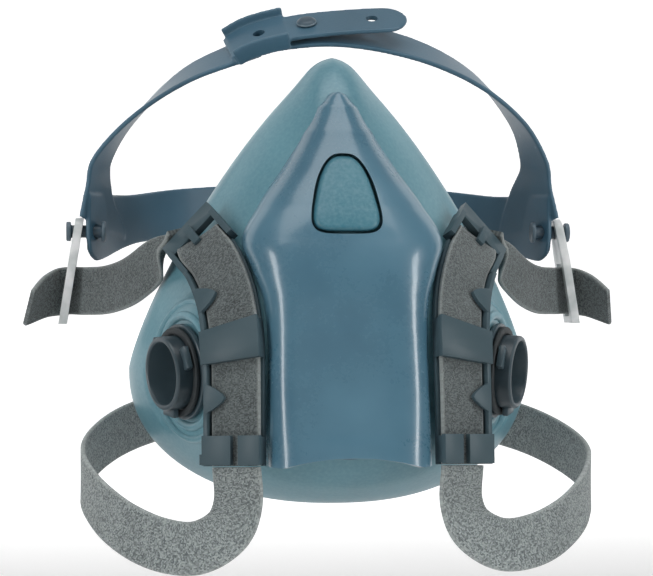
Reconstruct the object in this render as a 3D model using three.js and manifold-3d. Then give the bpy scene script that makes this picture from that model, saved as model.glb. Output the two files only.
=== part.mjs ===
// A reusable half-face respirator with its head harness, in millimetres.
// +X is the wearer's left, -Y is straight ahead of the wearer and +Z is up.
// The origin is the middle of the face opening, which the wearer's face fills.
import * as THREE from "three";
import { mergeVertices } from "three/addons/utils/BufferGeometryUtils.js";
import Module from "manifold-3d";

const wasm = await Module();
wasm.setup();

// ---- Driving dimensions ----

const GAP = 0.35; // between pieces that touch

// The soft facepiece: rings from the rim to the front, each a pear outline in a plane of its own.
const FACE_RINGS = [
  { y: 10, top: 71, bottom: -64, half: 62 },
  { y: 2, top: 73, bottom: -68, half: 65 },
  { y: -5, top: 71, bottom: -69.5, half: 64 },
  { y: -13, top: 64, bottom: -69, half: 59.5 },
  { y: -21, top: 53, bottom: -67.5, half: 54 },
  { y: -29, top: 40, bottom: -64.5, half: 48.5 },
  { y: -36, top: 28, bottom: -61, half: 43.5 },
  { y: -42, top: 16, bottom: -56, half: 36 },
  { y: -46.5, top: 3, bottom: -49, half: 25 },
  { y: -49, top: -13, bottom: -38, half: 10 },
];
const FACE_WIDEST_Z = -27;
const FACE_UPPER_POWER = 1.27; // nearly straight flanks towards the nose
const FACE_LOWER_POWER = 2.3; // a full, round chin
const FACE_WALL = 2.6;
const FACE_LIP = 11; // how far the sealing lip turns in at the rim
const CHEEK_BACK = 15; // how far the cheeks of the rim sit behind nose and chin

// The hard front cover: level sections, each a rounded box open at the back.
const COVER_SECTIONS = [
  { z: 60, half: 4, front: -19.5, back: -8, power: 2 },
  { z: 56, half: 7.5, front: -22.5, back: -10, power: 2 },
  { z: 48, half: 11.5, front: -28, back: -14, power: 2 },
  { z: 36, half: 18.5, front: -35.5, back: -18, power: 2.1 },
  { z: 24, half: 26, front: -42.5, back: -24, power: 2.3 },
  { z: 14, half: 31, front: -47, back: -28, power: 2.7 },
  { z: 5, half: 28.5, front: -50.5, back: -32, power: 3.2 },
  { z: -4, half: 25.5, front: -53, back: -36, power: 3.8 },
  { z: -14, half: 24.5, front: -55, back: -38, power: 4.4 },
  { z: -32, half: 24.4, front: -58.5, back: -40, power: 5 },
  { z: -54, half: 25, front: -63, back: -37, power: 5 },
];
const COVER_WALL = 2.2;
const OUTLET_ARCH = 3; // rise of the cover's lower edge at its middle

// The inset badge, drawn flat and laid on the slope under the nose.
const BADGE_CENTRE = new THREE.Vector3(0, -37, 28);
const BADGE_SLOPE = 0.54; // radians back from upright
const BADGE_TOP = 13.8;
const BADGE_BOTTOM = -13.6;
const BADGE_HALF_TOP = 5;
const BADGE_HALF_BOTTOM = 11;
const BADGE_ROUND = 4;
const BADGE_GROOVE = 0.8;

// Bayonet ports, on the left side and mirrored to the right.
const PORT_SEAT = new THREE.Vector3(48.4, -25.6, -26.7);
const PORT_AXIS = new THREE.Vector3(0.906, -0.423, -0.07).normalize();
const PORT_TUBE_R = 11.4;
const PORT_BORE_R = 9.6;
const PORT_NECK_R = 11.6;
const PORT_NECK = 7; // how far the neck reaches inside
const PORT_LENGTH = 8.2;
const PORT_FLANGE_R = 14.8;
const PORT_FLANGE = 1.6;
const PORT_DISH_R = 17.6;
const LUG_REACH = 13.6;
const LUG_TURNS = [0.05, 0.385, 0.715]; // parts of a turn

// Exhalation valve, looking straight ahead behind the cover.
const VALVE_Z = -33;
const VALVE_SEAT_Y = -50.8;
const VALVE_HOLE_R = 17;
const VALVE_FLANGE_R = 19.4;
const VALVE_FLAP_R = 15.5;

// Strap webbing.
const STRAP_WIDTH = 16;
const STRAP_THICK = 1.5;

// Head cradle.
const CRADLE_WIDTH = 17;
const CRADLE_THICK = 1.6;
const STUD = new THREE.Vector3(77, 38, 18);
const STUD_R = 2.1;

const COLOURS = {
  face: 0x78a5b2,
  cover: 0x57788c,
  badge: 0x4a8494,
  adapter: 0x4c6270,
  port: 0x3c4f58,
  rubber: 0x22282b,
  valve: 0xb9c4c8,
  yoke: 0x475a64,
  strap: 0x6f7a7c,
  slide: 0xd2d9d8,
  cradle: 0x435a6b,
};

// ---- Helpers ----

const v = (x, y, z) => new THREE.Vector3(x, y, z);

function material(colour, roughness) {
  return new THREE.MeshStandardMaterial({ color: colour, roughness, metalness: 0 });
}

// A three.js geometry as a closed manifold solid, turned face out.
function solidOf(geometry) {
  const bare = geometry.clone();
  for (const name of Object.keys(bare.attributes)) {
    if (name !== "position") bare.deleteAttribute(name);
  }
  const merged = mergeVertices(bare, 1e-4);
  const mesh = new wasm.Mesh({
    numProp: 3,
    vertProperties: merged.attributes.position.array,
    triVerts: new Uint32Array(merged.index.array),
  });
  return new wasm.Manifold(mesh);
}

function geometryOf(solid) {
  const mesh = solid.getMesh();
  const geometry = new THREE.BufferGeometry();
  geometry.setAttribute("position", new THREE.Float32BufferAttribute(mesh.vertProperties, 3));
  geometry.setIndex(new THREE.BufferAttribute(mesh.triVerts, 1));
  geometry.computeVertexNormals();
  return geometry;
}

function cut(base, ...tools) {
  return geometryOf(tools.reduce((solid, tool) => solid.subtract(solidOf(tool)), solidOf(base)));
}

function join(base, ...others) {
  return geometryOf(others.reduce((solid, other) => solid.add(solidOf(other)), solidOf(base)));
}

function common(a, b) {
  return geometryOf(solidOf(a).intersect(solidOf(b)));
}

// Rings of equal length skinned into one closed solid, with a fan at each end.
function skin(rings) {
  const count = rings[0].length;
  const points = rings.flat();
  const faces = [];
  for (let r = 0; r + 1 < rings.length; r += 1) {
    for (let i = 0; i < count; i += 1) {
      const a = r * count + i;
      const b = r * count + ((i + 1) % count);
      faces.push(a, b, b + count, a, b + count, a + count);
    }
  }
  const last = (rings.length - 1) * count;
  const ends = [rings[0], rings[rings.length - 1]].map((ring) => {
    const middle = new THREE.Vector3();
    ring.forEach((p) => middle.addScaledVector(p, 1 / count));
    return points.push(middle) - 1;
  });
  for (let i = 0; i < count; i += 1) {
    const next = (i + 1) % count;
    faces.push(ends[0], next, i, ends[1], last + i, last + next);
  }
  const geometry = new THREE.BufferGeometry().setFromPoints(points);
  geometry.setIndex(faces);
  return volume(geometry) < 0 ? insideOut(geometry) : geometry;
}

function volume(geometry) {
  const at = geometry.attributes.position;
  const index = geometry.index.array;
  const [a, b, c] = [new THREE.Vector3(), new THREE.Vector3(), new THREE.Vector3()];
  let sum = 0;
  for (let i = 0; i < index.length; i += 3) {
    a.fromBufferAttribute(at, index[i]);
    b.fromBufferAttribute(at, index[i + 1]);
    c.fromBufferAttribute(at, index[i + 2]);
    sum += a.dot(b.cross(c)) / 6;
  }
  return sum;
}

function insideOut(geometry) {
  const index = Array.from(geometry.index.array);
  for (let i = 0; i < index.length; i += 3) {
    [index[i + 1], index[i + 2]] = [index[i + 2], index[i + 1]];
  }
  const turned = geometry.clone();
  turned.setIndex(index);
  return turned;
}

// The same piece on the wearer's right.
function mirrored(geometry) {
  const indexed = geometry.index ? geometry.clone() : mergeVertices(geometry);
  indexed.scale(-1, 1, 1);
  return insideOut(indexed);
}

// A closed outline turned about an axis through a point.
function turned(profile, origin, axis, segments = 32) {
  const points = profile.map(([r, along]) => new THREE.Vector2(r, along));
  const onAxis = profile[0][0] === 0 && profile[profile.length - 1][0] === 0;
  if (!onAxis) points.push(points[0].clone());
  const geometry = new THREE.LatheGeometry(points, segments);
  return place(geometry, origin, axis);
}

// Moves a piece drawn along +Y so that its axis runs along the given one.
function place(geometry, origin, axis) {
  const indexed = mergeVertices(geometry, 1e-4);
  const turn = new THREE.Quaternion().setFromUnitVectors(v(0, 1, 0), axis);
  indexed.applyQuaternion(turn);
  indexed.translate(origin.x, origin.y, origin.z);
  return indexed;
}

function block(size, centre) {
  return new THREE.BoxGeometry(...size).translate(...centre);
}

function rod(r, from, to, axis, origin, segments = 20) {
  const profile = [
    [0, from],
    [r, from],
    [r, to],
    [0, to],
  ];
  return turned(profile, origin, axis, segments);
}

// A band's route: its middle line, and the direction across it at each point.
function route(stops) {
  const middle = new THREE.CatmullRomCurve3(stops.map((s) => s.at), false, "centripetal");
  const across = new THREE.CatmullRomCurve3(stops.map((s) => s.side), false, "catmullrom");
  return { middle, across };
}

// Where a point of the band lies: at a part of the route, a distance across and a lift off it.
function onRoute({ middle, across }, part, out, lift) {
  const at = middle.getPoint(part);
  const along = middle.getTangent(part);
  const side = across.getPoint(part);
  side.addScaledVector(along, -side.dot(along)).normalize();
  const off = new THREE.Vector3().crossVectors(along, side);
  return at.addScaledVector(side, out).addScaledVector(off, lift);
}

// A closed strip that follows a route. Its edges may be functions of the part of the route.
function strip(path, { from = 0, to = 1, low, high, under, over, steps = 30 }) {
  const value = (edge, part) => (typeof edge === "function" ? edge(part) : edge);
  const rings = [];
  for (let i = 0; i <= steps; i += 1) {
    const part = THREE.MathUtils.lerp(from, to, i / steps);
    const [a, b] = [value(low, part), value(high, part)];
    const [c, d] = [value(under, part), value(over, part)];
    rings.push([
      onRoute(path, part, a, c),
      onRoute(path, part, b, c),
      onRoute(path, part, b, d),
      onRoute(path, part, a, d),
    ]);
  }
  return skin(rings);
}

// ---- Facepiece ----

const signedPower = (value, power) => Math.sign(value) * Math.abs(value) ** power;

// One pear outline, drawn in by an inset.
function pear(ring, inset = 0, count = 44) {
  const points = [];
  for (let i = 0; i < count; i += 1) {
    const turn = (i / count) * 2 * Math.PI;
    const up = Math.cos(turn) >= 0;
    const power = 2 / (up ? FACE_UPPER_POWER : FACE_LOWER_POWER);
    const height = up ? ring.top - FACE_WIDEST_Z : FACE_WIDEST_Z - ring.bottom;
    const side = signedPower(Math.sin(turn), power);
    const x = (ring.half - inset) * side;
    const z = FACE_WIDEST_Z + (height - inset) * signedPower(Math.cos(turn), power);
    const set = THREE.MathUtils.clamp((ring.y + 29) / 39, 0, 1);
    points.push(v(x, ring.y + CHEEK_BACK * set * side * side, z));
  }
  return points;
}

// The facepiece's outer shape grown or shrunk. Towards the front it is the depth that changes.
function faceForm(inset, back = null) {
  const rings = FACE_RINGS.map((ring, i) => {
    const forward = Math.min(1, i / (FACE_RINGS.length - 2));
    const lean = (forward * Math.PI) / 2;
    const drawn = { ...ring, y: ring.y + inset * Math.sin(lean) };
    return pear(drawn, inset * Math.cos(lean) + (back && i === 0 ? FACE_LIP : 0));
  });
  if (back) {
    rings.unshift(pear({ ...FACE_RINGS[0], y: back }, inset + FACE_LIP));
  }
  return skin(rings);
}

const portPad = turned(
  [
    [0, -14],
    [PORT_DISH_R + 2.2, -14],
    [PORT_DISH_R, -0.9],
    [PORT_DISH_R - 1.2, -GAP],
    [0, -GAP],
  ],
  PORT_SEAT,
  PORT_AXIS,
);
const portRoom = rod(PORT_FLANGE_R + 0.8, -GAP, 30, PORT_AXIS, PORT_SEAT, 32);
const portHole = rod(PORT_NECK_R + 0.5, -20, 20, PORT_AXIS, PORT_SEAT, 32);
const valveAxis = v(0, -1, 0);
const valveOrigin = v(0, 0, VALVE_Z);
const valveHole = rod(VALVE_HOLE_R, 30, 70, valveAxis, valveOrigin, 32);
const valveRoom = rod(VALVE_FLANGE_R + 0.5, -VALVE_SEAT_Y - 1.2 - GAP, 70, valveAxis, valveOrigin, 32);

// ---- Yokes, which carry the straps down both sides of the cover ----

const YOKE_STOPS = [
  { at: v(46.3, -11, 17.5), side: v(0.78, 0.44, -0.46) },
  { at: v(42.1, -19.3, 12), side: v(0.78, 0.44, -0.46) },
  { at: v(38, -27.6, 6), side: v(0.81, 0.44, -0.38) },
  { at: v(34.8, -35.4, -3), side: v(0.85, 0.46, -0.22) },
  { at: v(33.3, -41.7, -13), side: v(0.865, 0.49, -0.08) },
  { at: v(32.8, -46.2, -24), side: v(0.86, 0.51, 0) },
  { at: v(32.8, -48.4, -38), side: v(0.86, 0.51, 0) },
  { at: v(32.8, -49.8, -54), side: v(0.86, 0.51, 0) },
];
const yokeRoute = route(YOKE_STOPS);
const CHANNEL_HALF = 8.6;
const CHANNEL_FLOOR = 1.3;
const WEB_LIFT = CHANNEL_FLOOR + GAP;
const TOP_LIFT = WEB_LIFT + STRAP_THICK + GAP;
const TOP_THICK = 1.2;

// The part of a route where its middle line passes a value that falls all the way, found by halving.
function partWhere(path, measure, value) {
  let [low, high] = [0, 1];
  for (let i = 0; i < 40; i += 1) {
    const middle = (low + high) / 2;
    if (measure(path.middle.getPoint(middle)) > value) low = middle;
    else high = middle;
  }
  return low;
}

const yokeAt = (z) => partWhere(yokeRoute, (point) => point.z, z);

// Its pieces run a little into each other, so that no two faces lie in one plane.
function yokeBody() {
  const wallOut = CHANNEL_HALF + 1.3;
  const top = TOP_LIFT + TOP_THICK;
  const piece = (high, low, sides) =>
    strip(yokeRoute, { from: yokeAt(high), to: yokeAt(low), ...sides });
  const floor = piece(8, -54, {
    low: -CHANNEL_HALF,
    high: wallOut - 0.2,
    under: 0,
    over: CHANNEL_FLOOR,
    steps: 14,
  });
  const outerWall = piece(8.1, -54, {
    low: CHANNEL_HALF,
    high: wallOut,
    under: -0.12,
    over: top,
    steps: 14,
  });
  // A tab is a flat plate with a rounded tip that reaches in over the webbing.
  const tab = (high, low) => {
    const [a, b] = [yokeAt(high), yokeAt(low)];
    const tip = (part) => 1 - Math.abs((2 * (part - a)) / (b - a) - 1) ** 1.4;
    return piece(high, low, {
      low: (part) => CHANNEL_HALF + 0.5 - 6.4 * tip(part),
      high: wallOut - 0.3,
      under: TOP_LIFT,
      over: top + 0.2,
      steps: 8,
    });
  };
  const innerPost = (high, low) =>
    piece(high, low, {
      low: -CHANNEL_HALF - 0.15,
      high: -CHANNEL_HALF + 0.4,
      under: 0.2,
      over: top - 0.2,
      steps: 3,
    });
  const crossBand = piece(-13, -23.5, {
    low: -CHANNEL_HALF - 0.3,
    high: wallOut + 0.6,
    under: TOP_LIFT,
    over: top + 0.4,
    steps: 3,
  });
  const claw = (low, high) =>
    piece(-45, -53.8, { low, high, under: TOP_LIFT, over: top + 0.6, steps: 2 });
  const hook = piece(-50.5, -53.6, {
    low: CHANNEL_HALF + 0.2,
    high: wallOut + 2.4,
    under: 0.2,
    over: CHANNEL_FLOOR + 1.4,
    steps: 2,
  });
  return join(
    floor,
    outerWall,
    tab(1.5, -7),
    tab(-29.5, -38.5),
    crossBand,
    innerPost(-13.2, -23.3),
    innerPost(-45.4, -53.4),
    claw(-CHANNEL_HALF - 0.3, -1.9),
    claw(0.6, wallOut + 0.3),
    hook,
  );
}

// The loop frame at the head of the yoke. The webbing passes over its low lip, dives through the
// slot, which a bar divides, and leaves behind its high end.
const loopEnd = yokeAt(8) - 0.012;
const LOOP_SLOT = [loopEnd * 0.36, loopEnd * 0.62];

function yokeLoop() {
  const lip = strip(yokeRoute, {
    from: LOOP_SLOT[1] - 0.001,
    to: loopEnd,
    low: -9.6,
    high: 9.6,
    under: -0.6,
    over: CHANNEL_FLOOR,
    steps: 4,
  });
  const head = strip(yokeRoute, {
    from: 0,
    to: LOOP_SLOT[0],
    low: -10.2,
    high: 10.2,
    under: 0.6,
    over: 3,
    steps: 4,
  });
  const bar = (low, high, over) =>
    strip(yokeRoute, {
      from: LOOP_SLOT[0] - 0.02,
      to: loopEnd,
      low,
      high,
      under: -0.6,
      over,
      steps: 8,
    });
  const divider = strip(yokeRoute, {
    from: LOOP_SLOT[0] - 0.02,
    to: LOOP_SLOT[1] + 0.01,
    low: -1.3,
    high: 1.3,
    under: 3.4,
    over: 4.6,
    steps: 5,
  });
  const step = strip(yokeRoute, {
    from: LOOP_SLOT[0] - 0.04,
    to: LOOP_SLOT[0],
    low: -1.3,
    high: 1.3,
    under: 2,
    over: 4.6,
    steps: 1,
  });
  return join(head, lip, bar(8.4, 10.2, 3.4), bar(-10.2, -8.4, 3.4), divider, step);
}

const yokeKeepOut = strip(yokeRoute, {
  low: -CHANNEL_HALF - 1,
  high: CHANNEL_HALF + 4.2,
  under: -GAP,
  over: 9,
  steps: 14,
});

// Where the webbing leaves the loop it lies in a shallow seat in the facepiece.
const UPPER_STOPS = [
  { at: v(47.3, -8.2, 17.7), side: v(0.78, 0.44, -0.46) },
  { at: v(50.9, -2.6, 14.6), side: v(0.7, 0.36, -0.62) },
  { at: v(55.4, 3.4, 9.4), side: v(0.44, 0.24, -0.86) },
  { at: v(60.8, 9, 4.2), side: v(0.1, 0.05, -1) },
  { at: v(66, 15.5, 0.6), side: v(0, 0, -1) },
  { at: v(72.5, 25, -1.6), side: v(0, 0, -1) },
  { at: v(79.5, 33, -2), side: v(0, 0, -1) },
  { at: v(86, 38, -2), side: v(0, 0.05, -1) },
  { at: v(92, 35.2, -3.6), side: v(0, 0.45, -0.89) },
  { at: v(98, 29, -7.6), side: v(0.1, 0.75, -0.65) },
];
const upperRoute = route(UPPER_STOPS);
const strapSeat = strip(upperRoute, { to: 0.35, low: -8.7, high: 8.7, under: -2.6, over: 3, steps: 8 });

// ---- Front cover and badge ----

function coverRing(section, inset, count = 28) {
  const half = section.half - inset;
  const front = section.front + inset;
  const points = [];
  for (let i = 0; i <= count; i += 1) {
    const turn = (i / count) * Math.PI;
    const x = half * signedPower(Math.cos(turn), 2 / section.power);
    const y = section.back + (front - section.back) * Math.sin(turn) ** (2 / section.power);
    points.push(v(x, y, section.z));
  }
  return points;
}

// The cover's outer shape drawn in by an inset. Below the outlet an inner shape runs on down.
function coverForm(inset, above = 0, below = 0) {
  const first = COVER_SECTIONS[0];
  const last = COVER_SECTIONS[COVER_SECTIONS.length - 1];
  const rings = COVER_SECTIONS.map((section, i) =>
    coverRing({ ...section, z: section.z - (i ? 0 : above) }, Math.min(inset, section.half * 0.6)),
  );
  if (inset < 0) rings.unshift(coverRing({ ...first, z: first.z - inset, half: 2 }, 0));
  if (below) rings.push(coverRing({ ...last, z: last.z - below }, inset));
  return skin(rings);
}

function badgePrism(grow) {
  const round = BADGE_ROUND + grow;
  const shape = new THREE.Shape();
  const top = BADGE_TOP + grow;
  const bottom = BADGE_BOTTOM - grow;
  const [narrow, wide] = [BADGE_HALF_TOP + grow, BADGE_HALF_BOTTOM + grow];
  shape.moveTo(-wide + round, bottom);
  shape.lineTo(wide - round, bottom);
  shape.quadraticCurveTo(wide + 0.6, bottom, wide - 0.6, bottom + round * 1.6);
  shape.lineTo(narrow, top - round);
  shape.quadraticCurveTo(narrow * 0.6, top, 0, top);
  shape.quadraticCurveTo(-narrow * 0.6, top, -narrow, top - round);
  shape.lineTo(-wide + 0.6, bottom + round * 1.6);
  shape.quadraticCurveTo(-wide - 0.6, bottom, -wide + round, bottom);
  const prism = new THREE.ExtrudeGeometry(shape, {
    depth: 24,
    bevelEnabled: false,
    curveSegments: 6,
  });
  prism.translate(0, 0, -12);
  prism.rotateX(Math.PI / 2 - BADGE_SLOPE);
  prism.translate(...BADGE_CENTRE.toArray());
  return prism;
}

// Draws a flat shape upright and facing the front: its X stays and its Y becomes height.
function upright(shape, front, depth) {
  const solid = new THREE.ExtrudeGeometry(shape, { depth, bevelEnabled: false, curveSegments: 8 });
  solid.rotateX(Math.PI / 2);
  solid.translate(0, front + depth, 0);
  return solid;
}

// The bite that lifts the outlet's edge at its middle.
function outletArch() {
  const shape = new THREE.Shape();
  const low = COVER_SECTIONS[COVER_SECTIONS.length - 1].z;
  shape.moveTo(-21, low - 3);
  shape.lineTo(21, low - 3);
  shape.lineTo(21, low);
  shape.quadraticCurveTo(0, low + 2 * OUTLET_ARCH, -21, low);
  shape.closePath();
  return upright(shape, -70, 40);
}

function frontCover() {
  const hollow = coverForm(COVER_WALL, COVER_WALL, 8);
  const pocket = cut(badgePrism(BADGE_GROOVE), coverForm(1.3));
  return cut(coverForm(0), hollow, faceForm(-GAP - 0.2), outletArch(), pocket);
}

function coverBadge() {
  return cut(common(badgePrism(0), coverForm(-0.35)), coverForm(0.9));
}

// ---- Facepiece, adapter and ports ----

function facepiece() {
  const body = cut(join(faceForm(0), portPad, mirrored(portPad)), portRoom, mirrored(portRoom));
  return cut(
    body,
    faceForm(FACE_WALL, 40),
    portHole,
    mirrored(portHole),
    valveHole,
    valveRoom,
    yokeKeepOut,
    mirrored(yokeKeepOut),
    strapSeat,
    mirrored(strapSeat),
  );
}

// The stiff frame inside the facepiece that holds both ports and the exhalation valve.
function centreAdapter() {
  const shell = cut(faceForm(FACE_WALL + GAP), faceForm(FACE_WALL + GAP + 1.8, 40));
  const band = block([104, 40, 62], [0, -42, -27]);
  return cut(common(shell, band), portHole, mirrored(portHole), valveHole);
}

function port() {
  const body = turned(
    [
      [PORT_BORE_R, -PORT_NECK],
      [PORT_NECK_R, -PORT_NECK],
      [PORT_NECK_R, 0],
      [PORT_FLANGE_R, 0],
      [PORT_FLANGE_R, PORT_FLANGE],
      [PORT_TUBE_R, PORT_FLANGE],
      [PORT_TUBE_R, PORT_LENGTH - 0.5],
      [PORT_TUBE_R - 0.5, PORT_LENGTH],
      [PORT_BORE_R, PORT_LENGTH],
    ],
    PORT_SEAT,
    PORT_AXIS,
  );
  const reach = LUG_REACH - PORT_TUBE_R + 1;
  const lugs = LUG_TURNS.map((turn) => {
    const lug = block([reach, 2, 7], [PORT_TUBE_R - 1 + reach / 2, 4.9, 0]);
    return place(lug.rotateY(turn * 2 * Math.PI), PORT_SEAT, PORT_AXIS);
  });
  return join(body, ...lugs);
}

// A flat ring about the port's or the valve's axis.
function ring(inner, outer, from, to, origin, axis, segments = 32) {
  return turned(
    [
      [inner, from],
      [outer, from],
      [outer, to],
      [inner, to],
    ],
    origin,
    axis,
    segments,
  );
}

// A spider of bars that carries a valve's middle.
function spider(radius, width, from, to, count, origin, axis) {
  const bars = [];
  for (let i = 0; i < count; i += 1) {
    const bar = block([radius, to - from, width], [radius / 2, (from + to) / 2, 0]);
    bar.rotateY((i / count) * 2 * Math.PI + Math.PI / 2);
    bars.push(place(bar, origin, axis));
  }
  return bars;
}

const SEAT_IN = -3.4;
const SEAT_THICK = 1.4;

function inhalationSeat() {
  const back = SEAT_IN - SEAT_THICK;
  return join(
    ring(8, PORT_BORE_R - GAP, back, SEAT_IN, PORT_SEAT, PORT_AXIS, 32),
    ...spider(8.6, 1.4, back, SEAT_IN, 4, PORT_SEAT, PORT_AXIS),
    rod(0.9, SEAT_IN - 5.2, SEAT_IN - 0.2, PORT_AXIS, PORT_SEAT, 12),
    rod(2.1, SEAT_IN - 5.8, SEAT_IN - 5, PORT_AXIS, PORT_SEAT, 12),
  );
}

function inhalationFlap() {
  const back = SEAT_IN - SEAT_THICK - GAP;
  return ring(1.3, 8.9, back - 0.7, back, PORT_SEAT, PORT_AXIS, 32);
}

function exhalationSeat() {
  const front = -VALVE_SEAT_Y;
  const body = turned(
    [
      [14.4, front - 7.5],
      [VALVE_HOLE_R - GAP, front - 7.5],
      [VALVE_HOLE_R - GAP, front - 1.2],
      [VALVE_FLANGE_R, front - 1.2],
      [VALVE_FLANGE_R, front],
      [14.4, front],
    ],
    valveOrigin,
    valveAxis,
  );
  const bars = spider(15, 1.6, front - 1.4, front - 0.2, 4, valveOrigin, valveAxis);
  const hub = rod(3.2, front - 1.4, front - 0.2, valveAxis, valveOrigin, 20);
  const hole = rod(1.7, front - 5, front + 5, valveAxis, valveOrigin, 20);
  return cut(join(body, hub, ...bars), hole);
}

function exhalationFlap() {
  const back = -VALVE_SEAT_Y + GAP;
  return join(
    rod(VALVE_FLAP_R, back, back + 0.8, valveAxis, valveOrigin, 32),
    rod(1.2, back - 5, back + 0.2, valveAxis, valveOrigin, 12),
    rod(2.2, back - 6.4, back - 4.8, valveAxis, valveOrigin, 12),
  );
}

// ---- Straps ----

// Down the yoke between the slot of its loop and its lower claws.
function frontStrap() {
  return strip(yokeRoute, {
    from: LOOP_SLOT[1] - 0.012,
    to: 1,
    low: -STRAP_WIDTH / 2,
    high: STRAP_WIDTH / 2,
    under: WEB_LIFT,
    over: WEB_LIFT + STRAP_THICK,
    steps: 20,
  });
}

const neckRoute = route([
  { at: v(32.9, -50.1, -56.6), side: v(0.86, 0.51, 0) },
  { at: v(33.2, -51.6, -65), side: v(0.86, 0.5, 0.08) },
  { at: v(37, -52.6, -73), side: v(0.74, 0.45, 0.5) },
  { at: v(46, -52.2, -78), side: v(0.36, 0.3, 0.88) },
  { at: v(57, -49.5, -77), side: v(0.1, 0.12, 1) },
  { at: v(67.5, -43, -72.4), side: v(0, 0, 1) },
  { at: v(75.5, -33, -66), side: v(0, 0, 1) },
  { at: v(79.6, -19, -59.6), side: v(0, 0, 1) },
  { at: v(77.5, -1, -54.4), side: v(0, 0, 1) },
  { at: v(69, 22, -49), side: v(0, 0, 1) },
  { at: v(56, 46, -45.4), side: v(0, 0, 1) },
  { at: v(38, 71, -43), side: v(0, 0, 1) },
  { at: v(16.5, 86, -42), side: v(0, 0, 1) },
]);

function webbing(path, steps) {
  return strip(path, {
    low: -STRAP_WIDTH / 2,
    high: STRAP_WIDTH / 2,
    under: -STRAP_THICK / 2,
    over: STRAP_THICK / 2,
    steps,
  });
}

// ---- Slides, studs and the clasp behind the neck ----

const SLIDE_X = 80.6; // the inner face at the stud
const SLIDE_THICK = 2.8;
const SLIDE_LEAN = 0.16; // outward for each millimetre below the stud

// A flat plate with an eye over the stud and a slot for the webbing.
function strapSlide() {
  const shape = new THREE.Shape();
  shape.moveTo(STUD.y - 7, -13);
  shape.lineTo(STUD.y + 6, -13);
  shape.lineTo(STUD.y + 6.4, 9);
  shape.lineTo(STUD.y + 4.6, STUD.z + 2);
  shape.absarc(STUD.y, STUD.z, 4.6, 0.3, Math.PI - 0.3, false);
  shape.lineTo(STUD.y - 7.2, 9);
  shape.closePath();
  const eye = new THREE.Path();
  eye.absarc(STUD.y, STUD.z, STUD_R + 0.3, 0, 2 * Math.PI, true);
  shape.holes.push(eye);
  const slot = new THREE.Path();
  slot.moveTo(STUD.y - 4, -10.8);
  slot.lineTo(STUD.y - 4, 7.2);
  slot.lineTo(STUD.y + 3.4, 7.2);
  slot.lineTo(STUD.y + 3.4, -10.8);
  slot.closePath();
  shape.holes.push(slot);
  const plate = new THREE.ExtrudeGeometry(shape, {
    depth: SLIDE_THICK,
    bevelEnabled: false,
    curveSegments: 10,
  });
  // The shape's X is drawn along Y and its Y along Z, which leaves the depth along X.
  plate.applyMatrix4(new THREE.Matrix4().makeBasis(v(0, 1, 0), v(0, 0, 1), v(1, 0, 0)));
  const lean = new THREE.Matrix4().set(
    ...[1, 0, -SLIDE_LEAN, SLIDE_X + SLIDE_LEAN * STUD.z],
    ...[0, 1, 0, 0],
    ...[0, 0, 1, 0],
    ...[0, 0, 0, 1],
  );
  plate.applyMatrix4(lean);
  return plate;
}

// A headed pin along X through the cradle's corner and the slide's eye.
function slideStud() {
  const origin = v(0, STUD.y, STUD.z);
  const axis = v(1, 0, 0);
  return join(
    rod(STUD_R, STUD.x - 3, STUD.x + 8, axis, origin),
    rod(3.5, STUD.x - 4.4, STUD.x - 3, axis, origin),
    rod(3.3, STUD.x + 7.2, STUD.x + 8.8, axis, origin),
  );
}

// The clasp's hook half on the left strap and its eye half on the right.
function claspHook() {
  const plate = block([12, 2.4, 20], [7.6, 86.4, -42]);
  const slot = block([3, 6, 16.8], [9.6, 86.4, -42]);
  const hook = block([9.1, 2.4, 9], [-0.55, 84.4, -42]);
  const lip = block([1.8, 5, 9], [-4.2, 86, -42]);
  return join(cut(plate, slot), hook, lip);
}

function claspEye() {
  const plate = block([14, 2.4, 20], [-8.6, 88.2, -42]);
  const slot = block([3, 6, 16.8], [-12.4, 88.2, -42]);
  const eye = block([3.4, 6, 10.4], [-4.2, 88.2, -42]);
  return cut(plate, slot, eye);
}

// ---- Head cradle ----

const rearStops = [
  { at: v(78.6, 34.2, 21), side: v(0, 0, 1) },
  { at: v(76.6, 38, 21), side: v(0, 0, 1) },
  { at: v(66, 60, 22.5), side: v(0, 0, 1) },
  { at: v(42, 88, 26.5), side: v(0, 0, 1) },
  { at: v(0, 101, 29), side: v(0, 0, 1) },
];
const rearRoute = route([
  ...rearStops,
  ...rearStops
    .slice(0, -1)
    .reverse()
    .map(({ at, side }) => ({ at: v(-at.x, at.y, at.z), side: side.clone() })),
]);

// The band behind the head and its two corner plates, with the studs' holes.
function cradleRear() {
  const swell = (part) => {
    const end = Math.min(part, 1 - part);
    return 1 - THREE.MathUtils.smoothstep(end, 0.02, 0.17);
  };
  const band = strip(rearRoute, {
    low: (part) => -CRADLE_WIDTH / 2 - 4.5 * swell(part),
    high: (part) => CRADLE_WIDTH / 2 + 1.3 * swell(part),
    under: -CRADLE_THICK / 2,
    over: CRADLE_THICK / 2,
    steps: 36,
  });
  const hole = rod(STUD_R + 0.3, 70, 95, v(1, 0, 0), v(0, STUD.y, STUD.z));
  return cut(band, hole, mirrored(hole));
}

// The crown's middle line from the left corner up. Its top leans to one side, where the strap adjusts.
const CROWN_STOPS = [
  { at: v(75.2, 41.4, 32), side: v(-0.45, 0.89, 0), lean: 0 },
  { at: v(74.2, 41, 42), side: v(-0.35, 0.94, 0.02), lean: 0.3 },
  { at: v(65.8, 39.5, 56), side: v(-0.1, 1, 0.06), lean: 2.2 },
  { at: v(48.5, 37.5, 71), side: v(0, 0.93, 0.36), lean: 3.5 },
  { at: v(26, 36, 80.8), side: v(0, 0.86, 0.51), lean: 4 },
  { at: v(0, 35.5, 85), side: v(0, 0.84, 0.545), lean: 4 },
  { at: v(-26, 36, 82.4), side: v(0, 0.86, 0.51), lean: 4 },
];

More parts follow.
